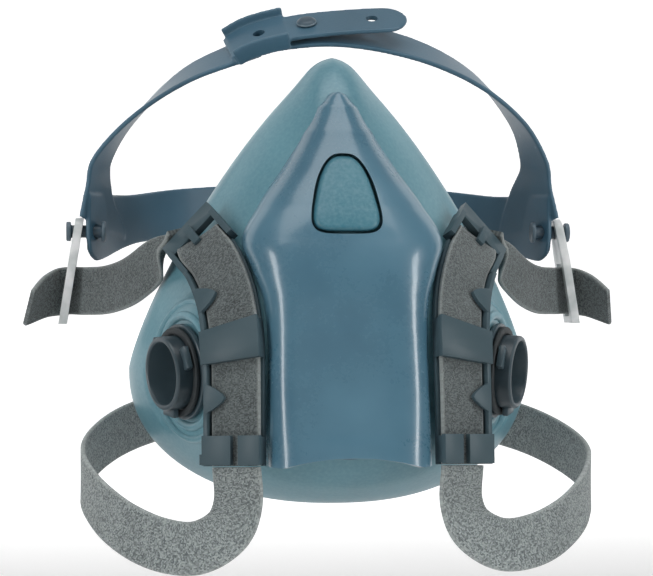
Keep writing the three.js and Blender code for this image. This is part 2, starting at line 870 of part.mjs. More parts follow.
const crownRoute = (hand) =>
  route(
    CROWN_STOPS.map(({ at, side, lean }) => ({ at: v(at.x + hand * lean, at.y, at.z), side })),
  );

// Half of the crown: a band that widens into the corner plate below it.
function crownBand(path, endX) {
  const wide = (part) => (1 - THREE.MathUtils.smoothstep(part, -0.02, 0.15)) ** 2;
  return strip(path, {
    to: partWhere(path, (point) => point.x, endX),
    low: -CRADLE_WIDTH / 2,
    high: (part) => CRADLE_WIDTH / 2 + 14 * wide(part),
    under: -CRADLE_THICK / 2,
    over: CRADLE_THICK / 2,
    steps: 22,
  });
}

const tongueRoute = route([
  { at: v(-31.5, 36.4, 79.2), side: v(0, 0.84, 0.545) },
  { at: v(-24, 35.4, 83.2), side: v(0, 0.84, 0.545) },
  { at: v(-12, 34.4, 86.4), side: v(0, 0.84, 0.545) },
  { at: v(0, 33.9, 88.2), side: v(0, 0.84, 0.545) },
  { at: v(14, 33.6, 89.4), side: v(0, 0.84, 0.545) },
  { at: v(29, 33.4, 90.2), side: v(0, 0.84, 0.545) },
]);
const CROWN_STUD_X = -5;
const TONGUE_HOLES = [-21, CROWN_STUD_X, 17];

// A point on the tongue and the direction square to it.
function tongueFrame(x) {
  const part = partWhere(tongueRoute, (point) => -point.x, -x);
  const at = onRoute(tongueRoute, part, 0, 0);
  const axis = onRoute(tongueRoute, part, 0, 1).sub(at).normalize();
  return { at, axis: axis.z < 0 ? axis.negate() : axis };
}

// The right half of the crown ends in a keeper frame and a tongue that laps over the left half.
function crownRight() {
  const half = CRADLE_WIDTH / 2;
  const round = (part) => {
    const left = (1 - part) / 0.11;
    return left >= 1 ? half : half * Math.sqrt(Math.max(0.02, 1 - (1 - left) ** 2));
  };
  const tongue = strip(tongueRoute, {
    low: (part) => -round(part),
    high: round,
    under: -0.8,
    over: 0.8,
    steps: 26,
  });
  const keeper = (low, high, under, over) =>
    strip(tongueRoute, { from: 0.02, to: 0.34, low, high, under, over, steps: 6 });
  const holes = TONGUE_HOLES.map((x) => {
    const { at, axis } = tongueFrame(x);
    return rod(x === CROWN_STUD_X ? 2.6 : 2.1, -2, 2, axis, at);
  });
  const band = mirrored(crownBand(crownRoute(-1), 27.5));
  const [inner, outer] = [half + 0.9, half + 2.2];
  const roof = keeper(-outer + 0.2, outer - 0.2, -1, 1.2);
  const rails = [keeper(-outer, -inner, -3.6, 2.4), keeper(inner, outer, -3.6, 2.4)];
  return cut(join(band, tongue, roof, ...rails), ...holes);
}

function crownStud() {
  const { at, axis } = tongueFrame(CROWN_STUD_X);
  return join(
    rod(2.1, -1.6, 1.6, axis, at),
    turned(
      [
        [0, 1.2],
        [3.4, 1.2],
        [3.4, 1.7],
        [2.2, 2.6],
        [0, 2.6],
      ],
      at,
      axis,
      24,
    ),
  );
}

// ---- The assembly ----

const respirator = new THREE.Group();
respirator.name = "respirator";

function add(name, geometry, colour, roughness) {
  const mesh = new THREE.Mesh(geometry, material(colour, roughness));
  mesh.name = name;
  respirator.add(mesh);
}

// Adds a left piece and its mirror image on the wearer's right.
function addPair(name, geometry, colour, roughness) {
  add(`${name}_left`, geometry, colour, roughness);
  add(`${name}_right`, mirrored(geometry), colour, roughness);
}

add("facepiece", facepiece(), COLOURS.face, 0.5);
add("centre_adapter", centreAdapter(), COLOURS.adapter, 0.5);
add("front_cover", frontCover(), COLOURS.cover, 0.35);
add("cover_badge", coverBadge(), COLOURS.badge, 0.5);
add("exhalation_seat", exhalationSeat(), COLOURS.adapter, 0.5);
add("exhalation_flap", exhalationFlap(), COLOURS.valve, 0.55);
addPair("port", port(), COLOURS.port, 0.4);
addPair(
  "port_gasket",
  ring(PORT_TUBE_R + GAP, 13.9, PORT_FLANGE + GAP, 3.3, PORT_SEAT, PORT_AXIS),
  COLOURS.rubber,
  0.7,
);
addPair("inhalation_seat", inhalationSeat(), COLOURS.adapter, 0.5);
addPair("inhalation_flap", inhalationFlap(), COLOURS.valve, 0.55);
addPair("yoke", yokeBody(), COLOURS.yoke, 0.4);
addPair("yoke_loop", yokeLoop(), COLOURS.yoke, 0.4);
addPair("front_strap", frontStrap(), COLOURS.strap, 0.95);
addPair("upper_strap", webbing(upperRoute, 28), COLOURS.strap, 0.95);
addPair("neck_strap", webbing(neckRoute, 34), COLOURS.strap, 0.95);
addPair("strap_slide", strapSlide(), COLOURS.slide, 0.35);
addPair("slide_stud", slideStud(), COLOURS.slide, 0.35);
add("clasp_hook", claspHook(), COLOURS.cradle, 0.45);
add("clasp_eye", claspEye(), COLOURS.cradle, 0.45);
add("cradle_rear", cradleRear(), COLOURS.cradle, 0.45);
add("crown_left", crownBand(crownRoute(1), -19), COLOURS.cradle, 0.45);
add("crown_right", crownRight(), COLOURS.cradle, 0.45);
add("crown_stud", crownStud(), COLOURS.cradle, 0.45);

export default respirator;
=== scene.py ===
# %% [markdown]
# # A half-face respirator and its head harness
# The measured parts come in as a fixed frame in metres: +X is the wearer's left, -Y is straight ahead
# and +Z is up. This lesson puts the looks on that frame. Hard parts that already have their true
# shape keep it and get a finish. The silicone facepiece, the front cover, the ports, the webbing and
# the cradle are modelled again here, because their soft curves need many more faces than a
# measured part carries.

# %% Load the frame
import math
import bpy
import numpy as np
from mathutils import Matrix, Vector


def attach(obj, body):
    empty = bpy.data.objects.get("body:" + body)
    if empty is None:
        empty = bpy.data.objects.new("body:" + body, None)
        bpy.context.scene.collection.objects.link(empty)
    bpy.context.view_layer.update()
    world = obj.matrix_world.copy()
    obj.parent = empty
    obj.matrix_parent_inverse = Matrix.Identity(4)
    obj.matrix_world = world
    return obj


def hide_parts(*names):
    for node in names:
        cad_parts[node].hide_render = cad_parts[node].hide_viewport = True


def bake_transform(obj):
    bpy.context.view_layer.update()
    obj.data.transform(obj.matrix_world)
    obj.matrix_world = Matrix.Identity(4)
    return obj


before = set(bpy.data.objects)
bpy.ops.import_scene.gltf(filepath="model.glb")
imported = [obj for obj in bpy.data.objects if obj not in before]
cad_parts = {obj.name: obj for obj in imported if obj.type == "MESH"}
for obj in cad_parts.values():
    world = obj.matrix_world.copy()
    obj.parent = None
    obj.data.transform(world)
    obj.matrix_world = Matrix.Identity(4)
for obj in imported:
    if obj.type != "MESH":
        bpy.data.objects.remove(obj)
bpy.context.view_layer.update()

scene = bpy.context.scene

# %% [markdown]
# ## Working by hand, in code
# An operator acts on whatever is selected, and loading the frame leaves its parts selected. So each
# piece starts from an empty selection. Two habits carry the whole lesson. The first is a grid
# primitive whose points are moved onto a curved surface: a sheet of silicone, a moulded shell or a
# strap is a grid before it is anything else. The second is a circle that is extruded and resized
# ring by ring, as a turner works, which suits ports and studs.

# %% A clean selection, and millimetres
MM = 0.001


def nothing_selected():
    if bpy.context.object and bpy.context.object.mode != "OBJECT":
        bpy.ops.object.mode_set(mode="OBJECT")
    bpy.ops.object.select_all(action="DESELECT")


def only(obj):
    nothing_selected()
    obj.select_set(True)
    bpy.context.view_layer.objects.active = obj
    return obj


def apply_modifier(obj, kind, **settings):
    only(obj)
    made = obj.modifiers.new(kind.title(), kind)
    for name, value in settings.items():
        setattr(made, name, value)
    bpy.ops.object.modifier_apply(modifier=made.name)
    return obj


def tidy_faces(obj, merge=0.02, outward=True):
    only(obj)
    bpy.ops.object.mode_set(mode="EDIT")
    bpy.ops.mesh.select_all(action="SELECT")
    bpy.ops.mesh.remove_doubles(threshold=merge * MM)
    if outward:
        bpy.ops.mesh.normals_make_consistent(inside=False)
    bpy.ops.object.mode_set(mode="OBJECT")
    return obj


def smooth(obj, degrees=35):
    only(obj)
    bpy.ops.object.shade_smooth_by_angle(angle=math.radians(degrees))
    return obj


# %% A grid laid on a surface
def laid_grid(name, across, along, place, merge=True):
    """place(u, v) gives a point in mm for u and v from 0 to 1."""
    nothing_selected()
    bpy.ops.mesh.primitive_grid_add(x_subdivisions=across, y_subdivisions=along, size=1)
    obj = bpy.context.object
    obj.name = obj.data.name = name
    for point in obj.data.vertices:
        u, v = point.co.x + 0.5, point.co.y + 0.5
        point.co = Vector(place(u, v)) * MM
    if merge:
        tidy_faces(obj, outward=False)
    return obj


def wall(obj, thickness, offset=-1.0):
    return apply_modifier(
        obj, "SOLIDIFY", thickness=thickness * MM, offset=offset, use_even_offset=False
    )


def copy_across(obj, name):
    """The same piece on the wearer's other side."""
    nothing_selected()
    twin = obj.copy()
    twin.data = obj.data.copy()
    scene.collection.objects.link(twin)
    twin.name = twin.data.name = name
    only(twin)
    bpy.ops.object.mode_set(mode="EDIT")
    bpy.ops.mesh.select_all(action="SELECT")
    bpy.ops.transform.resize(value=(-1, 1, 1), center_override=(0, 0, 0))
    bpy.ops.mesh.flip_normals()
    bpy.ops.object.mode_set(mode="OBJECT")
    return twin


# %% Curves through a table of numbers
def through(table, part):
    """A smooth curve through the rows of a table, with part from 0 to 1."""
    rows = np.asarray(table, float)
    x = min(max(part, 0.0), 1.0) * (len(rows) - 1)
    i = min(int(x), len(rows) - 2)
    t = x - i
    p0, p1, p2, p3 = (rows[min(max(i + k, 0), len(rows) - 1)] for k in (-1, 0, 1, 2))
    return 0.5 * (
        2 * p1 + (p2 - p0) * t + (2 * p0 - 5 * p1 + 4 * p2 - p3) * t * t
        + (3 * p1 - p0 - 3 * p2 + p3) * t ** 3
    )


def ease(low, high, x):
    t = min(max((x - low) / (high - low), 0.0), 1.0)
    return t * t * (3 - 2 * t)


def signed_power(x, power):
    return math.copysign(abs(x) ** power, x)


# %% [markdown]
# ## Shader maths as Python
# A finish is easier to read as an expression than as a drawing of nodes. A small class wraps a
# socket, and adding or multiplying two wrapped sockets adds the Math node that does it. Every other
# node is made by one method, which sets the node's own settings first and its sockets after.

# %% The socket wrapper and the material maker
class Wire:
    def __init__(self, finish, socket):
        self.finish, self.socket = finish, socket

    def _math(self, operation, a, b=None):
        inputs = {0: a} if b is None else {0: a, 1: b}
        return self.finish.node("ShaderNodeMath", {"operation": operation}, inputs)

    def __add__(self, other): return self._math("ADD", self, other)
    def __radd__(self, other): return self._math("ADD", other, self)
    def __sub__(self, other): return self._math("SUBTRACT", self, other)
    def __rsub__(self, other): return self._math("SUBTRACT", other, self)
    def __mul__(self, other): return self._math("MULTIPLY", self, other)
    def __rmul__(self, other): return self._math("MULTIPLY", other, self)
    def __truediv__(self, other): return self._math("DIVIDE", self, other)
    def floor(self): return self._math("FLOOR", self)
    def wave(self): return self._math("SINE", self)


class Finish:
    def __init__(self, name, **sockets):
        self.material = bpy.data.materials.new(name)
        self.material.use_nodes = True
        self.tree = self.material.node_tree
        self.shader = self.tree.nodes["Principled BSDF"]
        for socket, value in sockets.items():
            self.shader.inputs[socket.replace("_", " ")].default_value = value

    def node(self, kind, settings=None, inputs=None, output=0):
        made = self.tree.nodes.new(kind)
        for name, value in (settings or {}).items():
            if name == "stops":
                ramp = made.color_ramp
                while len(ramp.elements) < len(value):
                    ramp.elements.new(0.5)
                for element, (place, colour) in zip(ramp.elements, value):
                    element.position, element.color = place, colour
            else:
                setattr(made, name, value)
        for name, value in (inputs or {}).items():
            self.feed(made.inputs[name], value)
        return Wire(self, made.outputs[output])

    def feed(self, socket, value):
        if isinstance(value, Wire):
            self.tree.links.new(value.socket, socket)
        else:
            socket.default_value = value

    def coordinates(self, which="Object"):
        made = self.tree.nodes.new("ShaderNodeTexCoord")
        return Wire(self, made.outputs[which])

    def noise(self, scale, detail=2.0, rough=0.5, where=None):
        where = where or self.coordinates()
        inputs = {"Vector": where, "Scale": scale, "Detail": detail, "Roughness": rough}
        return self.node("ShaderNodeTexNoise", {}, inputs)

    def blend(self, factor, a, b):
        inputs = {0: factor, 6: a, 7: b}
        return self.node("ShaderNodeMix", {"data_type": "RGBA"}, inputs, output=2)

    def between(self, value, low, high, to_low=0.0, to_high=1.0):
        inputs = {0: value, 1: low, 2: high, 3: to_low, 4: to_high}
        return self.node("ShaderNodeMapRange", {}, inputs)

    def edges(self):
        made = self.tree.nodes.new("ShaderNodeNewGeometry")
        return Wire(self, made.outputs["Pointiness"])

    def surface(self, colour=None, rough=None, height=None, depth=0.0001, strength=1.0):
        if colour is not None:
            self.feed(self.shader.inputs["Base Color"], colour)
        if rough is not None:
            self.feed(self.shader.inputs["Roughness"], rough)
        if height is not None:
            bump = {"Height": height, "Distance": depth, "Strength": strength}
            self.feed(self.shader.inputs["Normal"], self.node("ShaderNodeBump", {}, bump))
        return self.material


def shade(hexcode, lift=1.0):
    """A colour as it looks on a screen, turned into the linear light a shader works in."""
    parts = [int(hexcode[i:i + 2], 16) / 255 for i in (0, 2, 4)]
    linear = [((c + 0.055) / 1.055) ** 2.4 if c > 0.04 else c / 12.92 for c in parts]
    return (*[min(1.0, c * lift) for c in linear], 1.0)


def give(obj, material):
    obj.data.materials.clear()
    obj.data.materials.append(material)
    return obj


# %% [markdown]
# ## The finishes
# The facepiece is silicone: satin, a little cloudy, with a faint mottle and dust-fine grain. The
# cover is a harder, smoother moulding with a soft shine. On it and on the other mouldings, sharp
# edges are painted a little lighter, partly as rub marks and partly as a painted highlight. The
# cradle is polyethylene with a fine leathery grain. Each one varies a little in colour and in
# roughness, since a surface with one value everywhere looks like paint on a computer.

# %% Silicone
def silicone(name, light, dark, rough=0.4):
    finish = Finish(name, Specular_IOR_Level=0.5, Coat_Weight=0.12, Coat_Roughness=0.35)
    cloud = finish.noise(22, detail=3)
    dust = finish.noise(900, detail=2)
    colour = finish.blend(finish.between(cloud, 0.3, 0.7), shade(dark), shade(light))
    colour = finish.blend(finish.between(dust, 0.35, 0.75, 0, 0.12), colour, shade("a9c6cc"))
    gloss = finish.between(cloud, 0.3, 0.7, rough - 0.05, rough + 0.08)
    return finish.surface(colour, gloss, dust + cloud * 2, depth=0.00006, strength=0.35)


FACE = silicone("face silicone", "6695a1", "558290", 0.36)
BADGE = silicone("badge silicone", "3a7685", "31697a", 0.42)

# %% Moulded plastics
def moulded(
    name, light, dark, rough=0.35, grain=700, depth=0.00004, wear_and_highlight_colour="9fb3bd", wear_and_highlight=0.4, coat=0.0,
    shine=0.5,
):
    finish = Finish(name, Coat_Weight=coat, Coat_Roughness=0.12, Specular_IOR_Level=shine)
    flow = finish.noise(30, detail=4)
    fine = finish.noise(grain, detail=3, rough=0.6)
    colour = finish.blend(finish.between(flow, 0.3, 0.7), shade(dark), shade(light))
    # Sharp edges are painted lighter: partly real rubbing, partly a painted highlight along the rims.
    edge = finish.between(finish.edges(), 0.52, 0.62, 0, wear_and_highlight)
    colour = finish.blend(edge, colour, shade(wear_and_highlight_colour))
    gloss = finish.between(flow + fine * 0.4, 0.4, 0.9, rough - 0.06, rough + 0.08)
    return finish.surface(colour, gloss, fine, depth=depth, strength=0.4)


# The lighter edge colours given below are partly wear and partly a painted highlight.
COVER = moulded("cover nylon", "537b8e", "456a7d", 0.27, wear_and_highlight=0.06, coat=0.45)
ADAPTER = moulded("adapter plastic", "4d6474", "425866", 0.45)
PORT = moulded("port plastic", "33434b", "29373e", 0.34, wear_and_highlight_colour="6f858e")
YOKE = moulded("yoke plastic", "223037", "1a262c", 0.4, wear_and_highlight_colour="586d75", wear_and_highlight=0.5, shine=0.25)
CRADLE = moulded("cradle polyethylene", 
    "44687c", "3a5a6c", 0.4, grain=1400, depth=0.00007, wear_and_highlight_colour="6d8794"
)
STUDS = moulded("stud plastic", "3b505e", "32444f", 0.38)
RUBBER = moulded("gasket rubber", "2a3134", "1f2427", 0.6, wear_and_highlight_colour="4a5254")

# %% Milky plastic and valve silicone
def milky(name, colour, rough):
    finish = Finish(name, Subsurface_Weight=0.35, Transmission_Weight=0.12)
    finish.shader.inputs["Subsurface Radius"].default_value = (0.002, 0.002, 0.002)
    cloud = finish.noise(120, detail=3)
    tint = finish.blend(finish.between(cloud, 0.3, 0.7), shade(colour), shade("ffffff", 0.93))
    gloss = finish.between(cloud, 0.3, 0.7, rough, rough + 0.1)
    return finish.surface(tint, gloss, cloud, depth=0.00005, strength=0.3)


SLIDE = milky("slide plastic", "bcc5c4", 0.3)
VALVE = milky("valve silicone", "c3ced0", 0.4)

# %% [markdown]
# ## Woven elastic
# The webbing is elastic covered with pale and dark yarn, so up close it is a field of small flecks
# in rows, and from a step back it is a heathered grey. Its pattern has to follow the strap around
# every bend. So it reads the strap's own map, where one unit is one strap width each way, and not a
# position in space. Whole-number cells of that map each get a random shade for one stitch, and sine
# waves raise the rows.

# %% The webbing finish
def webbing_finish(name, pale, dark, lift=1.0):
    finish = Finish(name, Sheen_Weight=0.25, Sheen_Roughness=0.5, Roughness=0.9)
    own = finish.coordinates("UV")
    parts = finish.tree.nodes.new("ShaderNodeSeparateXYZ")
    finish.feed(parts.inputs[0], own)
    across, along = (Wire(finish, parts.outputs[i]) for i in (0, 1))
    rows, columns = across * 38, along * 44
    shifted = columns + (rows * 0.5).floor() * 0.5
    cell = finish.node("ShaderNodeCombineXYZ", {}, {0: rows.floor(), 1: shifted.floor()})
    fleck = finish.node("ShaderNodeTexWhiteNoise", {"noise_dimensions": "3D"}, {"Vector": cell})
    ribs = (rows * (2 * math.pi)).wave() * 0.5 + 0.5
    knots = (shifted * (2 * math.pi)).wave() * 0.5 + 0.5
    yarn = finish.between(fleck + ribs * 0.25 - knots * 0.15, 0.05, 1.1)
    patch = finish.noise(60, detail=2)
    colour = finish.blend(yarn, shade(dark, lift), shade(pale, lift))
    colour = finish.blend(finish.between(patch, 0.3, 0.7, 0, 0.25), colour, shade("7d8685", lift))
    rim = finish.node("ShaderNodeMath", {"operation": "ABSOLUTE"}, {0: across - 0.5})
    colour = finish.blend(finish.between(rim, 0.44, 0.49, 0, 0.45), colour, shade("b4bab8", lift))
    return finish.surface(colour, None, ribs * knots + fleck * 0.5, depth=0.00025, strength=0.8)


# The same webbing twice, in two shades that are painted light: the neck straps take a lighter copy,
# and the front and upper straps a darker copy whose darkness is painted shade.
WEBBING = webbing_finish("woven elastic", "b9c2c1", "525b5d")
SHADED_WEBBING = webbing_finish("woven elastic with painted shade", "727c7d", "262e30")
print(len(bpy.data.materials), "materials are made or carried in")


# %% [markdown]
# ## The facepiece
# This is the part that touches the face: one piece of silicone, a pear in outline, that swells
# forward into a nose and two cheeks and turns inward again at its rim to make a sealing lip. Its
# outline changes all the way from rim to front, so it is drawn as a stack of pear outlines. A grid
# wrapped round that stack gives one even skin with no seams, and the finer the grid, the softer
# the highlights. Round each port the skin is drawn in to a flat seat.

# %% The stack of pear outlines
# Each row: forward place, top, bottom and half width, in mm.
FACE_RINGS = [
    (10, 71, -64, 62), (2, 73, -68, 65), (-5, 71, -69.5, 64), (-13, 64, -69, 59.5),
    (-21, 53, -67.5, 54), (-29, 40, -64.5, 48.5), (-36, 28, -61, 43.5), (-42, 16, -56, 36),
    (-46.5, 3, -49, 25), (-49, -13, -38, 10), (-49.4, -26.8, -27.2, 0.05),
]
WIDEST_Z = -27
LIP = 11
PORT_SEAT = Vector((48.4, -25.6, -26.7))
PORT_AXIS = Vector((0.906, -0.423, -0.07)).normalized()


def pear_point(turn, row, inset=0.0):
    y, top, bottom, half = row
    up = math.cos(turn) >= 0
    power = 2 / (1.27 if up else 2.3)
    height = top - WIDEST_Z if up else WIDEST_Z - bottom
    side = signed_power(math.sin(turn), power)
    back = 15 * min(max((y + 29) / 39, 0), 1) * side * side
    z = WIDEST_Z + (height - inset) * signed_power(math.cos(turn), power)
    x = (half - inset) * side
    if up:
        z += 1.5 * math.exp(-((abs(x) - 6) / 5) ** 2) * half / 62
    return Vector((x, y + back, z))


def even_turn(u):
    """Spreads the points evenly round a pear, which has sharp turns at its top and its sides."""
    return 2 * math.pi * u - 0.30 * math.sin(4 * math.pi * u)


def port_frame(point):
    """How far a point is from the nearer port's axis, and how far out along it."""
    own = Vector((abs(point.x), point.y, point.z)) - PORT_SEAT
    out = own.dot(PORT_AXIS)
    return (own - PORT_AXIS * out).length, out


def face_point(u, v):
    turn = even_turn(u)
    if v < 0.1:
        lip = 1 - v / 0.1
        row = (FACE_RINGS[0][0] + 1.2 * math.sin(lip * 1.2), *FACE_RINGS[0][1:])
        point = pear_point(turn, row, LIP * lip)
    else:
        point = pear_point(turn, through(FACE_RINGS, (v - 0.1) / 0.9))
    radius, out = port_frame(point)
    if radius < 25 and out > -16:
        axis = Vector((math.copysign(PORT_AXIS.x, point.x), PORT_AXIS.y, PORT_AXIS.z))
        point += axis * (-0.9 - out) * (1 - ease(17.5, 25, radius))
    return point


# %% Wrap the skin, open it and give it a wall
facepiece = laid_grid("facepiece_skin", 260, 150, face_point)
tidy_faces(facepiece)


def open_round(obj, radius, centre, axis, reach):
    """Opens a round hole along an axis with a drilled-out cylinder."""
    nothing_selected()
    bpy.ops.mesh.primitive_cylinder_add(
        vertices=96, radius=radius * MM, depth=2 * reach * MM, location=Vector(centre) * MM,
        rotation=Vector((0, 0, 1)).rotation_difference(Vector(axis)).to_euler(),
    )
    drill = bpy.context.object
    apply_modifier(obj, "BOOLEAN", object=drill, operation="DIFFERENCE", solver="EXACT")
    bpy.data.objects.remove(drill)
    return obj


wall(facepiece, 2.6)
for side in (1, -1):
    seat = (side * PORT_SEAT.x, PORT_SEAT.y, PORT_SEAT.z)
    axis = (side * PORT_AXIS.x, PORT_AXIS.y, PORT_AXIS.z)
    open_round(facepiece, 12.1, seat, axis, 14)
open_round(facepiece, 17.0, (0, -48, -33), (0, 1, 0), 14)
smooth(facepiece, 50)
give(facepiece, FACE)
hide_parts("facepiece")
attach(facepiece, "mask")
print("the facepiece has", len(facepiece.data.polygons), "faces")

# %% [markdown]
# ## The rolled rings round the ports
# Two rolls of silicone stand up from the skin round each port and stiffen the seat. Drawn into the
# big grid they would come out ragged, because its rows cross them at a slant. So each is a ring of
# its own, a torus laid on the skin: every point of it is moved along the port's axis by as much as
# the skin under it rises or falls.

# %% Lay a ring on the skin
def skin_ring(name, major, minor, hand):
    nothing_selected()
    bpy.ops.mesh.primitive_torus_add(
        major_radius=major * MM, minor_radius=minor * MM, major_segments=120, minor_segments=16
    )
    ring = bpy.context.object
    ring.name = ring.data.name = name
    axis = Vector((hand * PORT_AXIS.x, PORT_AXIS.y, PORT_AXIS.z))
    seat = Vector((hand * PORT_SEAT.x, PORT_SEAT.y, PORT_SEAT.z)) * MM
    turn = Vector((0, 0, 1)).rotation_difference(axis)
    for point in ring.data.vertices:
        flat = Vector((point.co.x, point.co.y, 0))
        under = flat.normalized() * major * MM
        start = seat + turn @ under + axis * 20 * MM
        hit, place, _, _ = facepiece.ray_cast(start, -axis)
        rise = (place - seat).dot(axis) if hit else 0.0
        point.co = seat + turn @ point.co + axis * (rise - 0.25 * minor * MM)
    only(ring)
    bpy.ops.object.mode_set(mode="EDIT")
    bpy.ops.mesh.select_all(action="SELECT")
    bpy.ops.mesh.normals_make_consistent(inside=False)
    bpy.ops.object.mode_set(mode="OBJECT")
    smooth(ring, 80)
    give(ring, FACE)
    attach(ring, "mask")
    return ring


for word, hand in (("left", 1), ("right", -1)):
    for number, (major, minor) in enumerate(((17.2, 1.5), (21.2, 1.2)), 1):
        skin_ring(f"port_roll_{number}_{word}", major, minor, hand)

# %% [markdown]
# ## The front cover
# A hard shell clips over the front and turns the breath down and out. It is narrow under the nose,
# has shoulders at the height of the eyes and drops as a squarish snout with an open bottom. Level
# sections describe it, each a rounded box, and a grid carries them from top to bottom. The grid's
# lowest row rises in the middle, which leaves the outlet's arched edge.

# %% The cover's sections
# Each row: height, half width, front, back and squareness.
COVER_SECTIONS = [
    (60.6, 2.2, -18.6, -9, 2), (60, 4, -19.5, -8, 2), (56, 7.5, -22.5, -10, 2),
    (48, 11.5, -28, -14, 2), (36, 18.5, -35.5, -18, 2.1), (24, 26, -42.5, -24, 2.3),
    (14, 31, -47, -28, 2.7), (5, 28.5, -50.5, -32, 3.2), (-4, 25.5, -53, -36, 3.8),
    (-14, 24.5, -55, -38, 4.4), (-32, 24.4, -58.5, -40, 5), (-54, 25, -63, -37, 5),
]
COVER_Z = [row[0] for row in COVER_SECTIONS]


def cover_row(z):
    """The section at a height."""
    part = np.interp(-z, [-h for h in COVER_Z], np.linspace(0, 1, len(COVER_Z)))
    return through(COVER_SECTIONS, part)


def cover_front(x, z, lift=0.0):
    """The point of the cover's skin at a place across and a height."""
    _, half, front, back, power = cover_row(z)
    reach = max(0.0, 1 - (abs(x) / half) ** power) ** (1 / power)
    return Vector((x, back + (front - back) * reach - lift, z))


def cover_point(u, v):
    z = 60.6 - 114.6 * v
    _, half, front, back, power = cover_row(z)
    turn = math.pi * u
    x = half * signed_power(math.cos(turn), 2 / power)
    y = back + (front - back) * abs(math.sin(turn)) ** (2 / power)
    if v > 0.9:
        arch = 3.0 * max(0.0, 1 - (x / 21) ** 2) * ease(0.9, 1, v)
        z += arch
    return Vector((x, y, z))


cover = laid_grid("front_cover_shell", 170, 150, cover_point)
tidy_faces(cover)
wall(cover, 2.2)

# %% [markdown]
# ## The badge in the cover
# A soft insert fills a keyhole shape under the nose and stands a hair proud of the hard shell, with
# a thin dark gap all round. The gap is real, so it is cut: a plate in the keyhole shape, made a
# little larger, is taken out of the shell. The insert itself is a crowned pad laid in the opening.
# It carries no lettering.

# %% The keyhole outline
BADGE_Z, BADGE_SLOPE = 28, 0.54


def keyhole(turn, grow=0.0):
    """The outline as a place across and a height, from the middle of the badge."""
    up = math.cos(turn)
    h = signed_power(up, 0.75 if up > 0 else 0.42) * 13.7
    level = (h + 13.7) / 27.4
    half = 11.2 - 5.4 * level ** 1.15
    x = half * signed_power(math.sin(turn), 0.42 + 0.2 * level)
    far = math.hypot(x, h) or 1.0
    return x * (1 + grow / far), h * (1 + grow / far)


def badge_point(u, v):
    x, h = keyhole(2 * math.pi * u)
    shrink = 1 - v
    edge = min(1.0, (1 - shrink) * 7)
    rise = -1.6 + 2.1 * math.sqrt(max(0.0, 1 - (1 - edge) ** 2))
    return cover_front(x * shrink, BADGE_Z + h * shrink * math.cos(BADGE_SLOPE), rise)


badge = laid_grid("cover_badge_pad", 96, 40, badge_point)
tidy_faces(badge, outward=False)
wall(badge, 1.2, offset=1.0)
tidy_faces(badge)
smooth(badge, 45)
give(badge, BADGE)
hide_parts("cover_badge")
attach(badge, "mask")


# %% Cut its opening in the cover
def keyhole_plate(name):
    nothing_selected()
    bpy.ops.mesh.primitive_circle_add(vertices=96, radius=1, fill_type="NGON")
    plate = bpy.context.object
    plate.name = name
    for i, point in enumerate(plate.data.vertices):
        x, h = keyhole(2 * math.pi * i / 96, 0.95)
        point.co = Vector((x, -75, BADGE_Z + h * math.cos(BADGE_SLOPE))) * MM
    only(plate)
    bpy.ops.object.mode_set(mode="EDIT")
    bpy.ops.mesh.select_all(action="SELECT")
    bpy.ops.mesh.extrude_region_move(TRANSFORM_OT_translate={"value": (0, 0.06, 0)})
    bpy.ops.mesh.select_all(action="SELECT")
    bpy.ops.mesh.normals_make_consistent(inside=False)
    bpy.ops.object.mode_set(mode="OBJECT")
    return plate


plate = keyhole_plate("badge_plate")
apply_modifier(cover, "BOOLEAN", object=plate, operation="DIFFERENCE", solver="EXACT")
bpy.data.objects.remove(plate)
smooth(cover, 40)
give(cover, COVER)
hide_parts("front_cover")
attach(cover, "mask")
print("the cover has", len(cover.data.polygons), "faces")

# %% [markdown]
# ## The ports
# Each side has a short tube with a flange, and lugs that a filter twists onto. They are turned
# parts, so each is made as on a lathe: a circle is extruded and resized from step to step round its
# profile, and the last step is bridged to the first. The lugs are small blocks with their edges
# eased, set in a ring round the tube.


# %% Turning on a lathe
def turned(name, profile, segments=96):
    """profile holds radius and place along the axis, in mm, all round a closed section."""
    nothing_selected()
    radius, along = profile[0]
    bpy.ops.mesh.primitive_circle_add(
        vertices=segments, radius=radius * MM, location=(0, 0, along * MM)
    )
    obj = bpy.context.object
    obj.name = obj.data.name = name
    bpy.ops.object.transform_apply(location=True)
    bpy.ops.object.mode_set(mode="EDIT")
    bpy.ops.mesh.select_all(action="SELECT")
    for r, a in profile[1:]:
        bpy.ops.mesh.extrude_edges_move()
        bpy.ops.transform.translate(value=(0, 0, (a - along) * MM))
        bpy.ops.transform.resize(value=(r / radius, r / radius, 1), center_override=(0, 0, a * MM))
        radius, along = r, a
    bpy.ops.object.mode_set(mode="OBJECT")
    return obj


def close_profile(obj):
    """Joins the last step of a turned piece to its first."""
    only(obj)
    bpy.ops.object.mode_set(mode="EDIT")
    bpy.ops.mesh.select_all(action="DESELECT")
    bpy.ops.mesh.select_mode(type="EDGE")
    bpy.ops.mesh.select_non_manifold(extend=False)
    bpy.ops.mesh.bridge_edge_loops()
    bpy.ops.mesh.select_all(action="SELECT")
    bpy.ops.mesh.normals_make_consistent(inside=False)
    bpy.ops.mesh.select_mode(type="VERT")
    bpy.ops.object.mode_set(mode="OBJECT")
    return obj


def stand_on(obj, origin, axis):
    """Moves a piece drawn along +Z onto an axis, with the move kept in its mesh."""
    only(obj)
    obj.rotation_mode = "QUATERNION"
    obj.rotation_quaternion = Vector((0, 0, 1)).rotation_difference(Vector(axis))
    obj.location = Vector(origin) * MM
    bpy.ops.object.transform_apply(location=True, rotation=True, scale=True)
    return obj


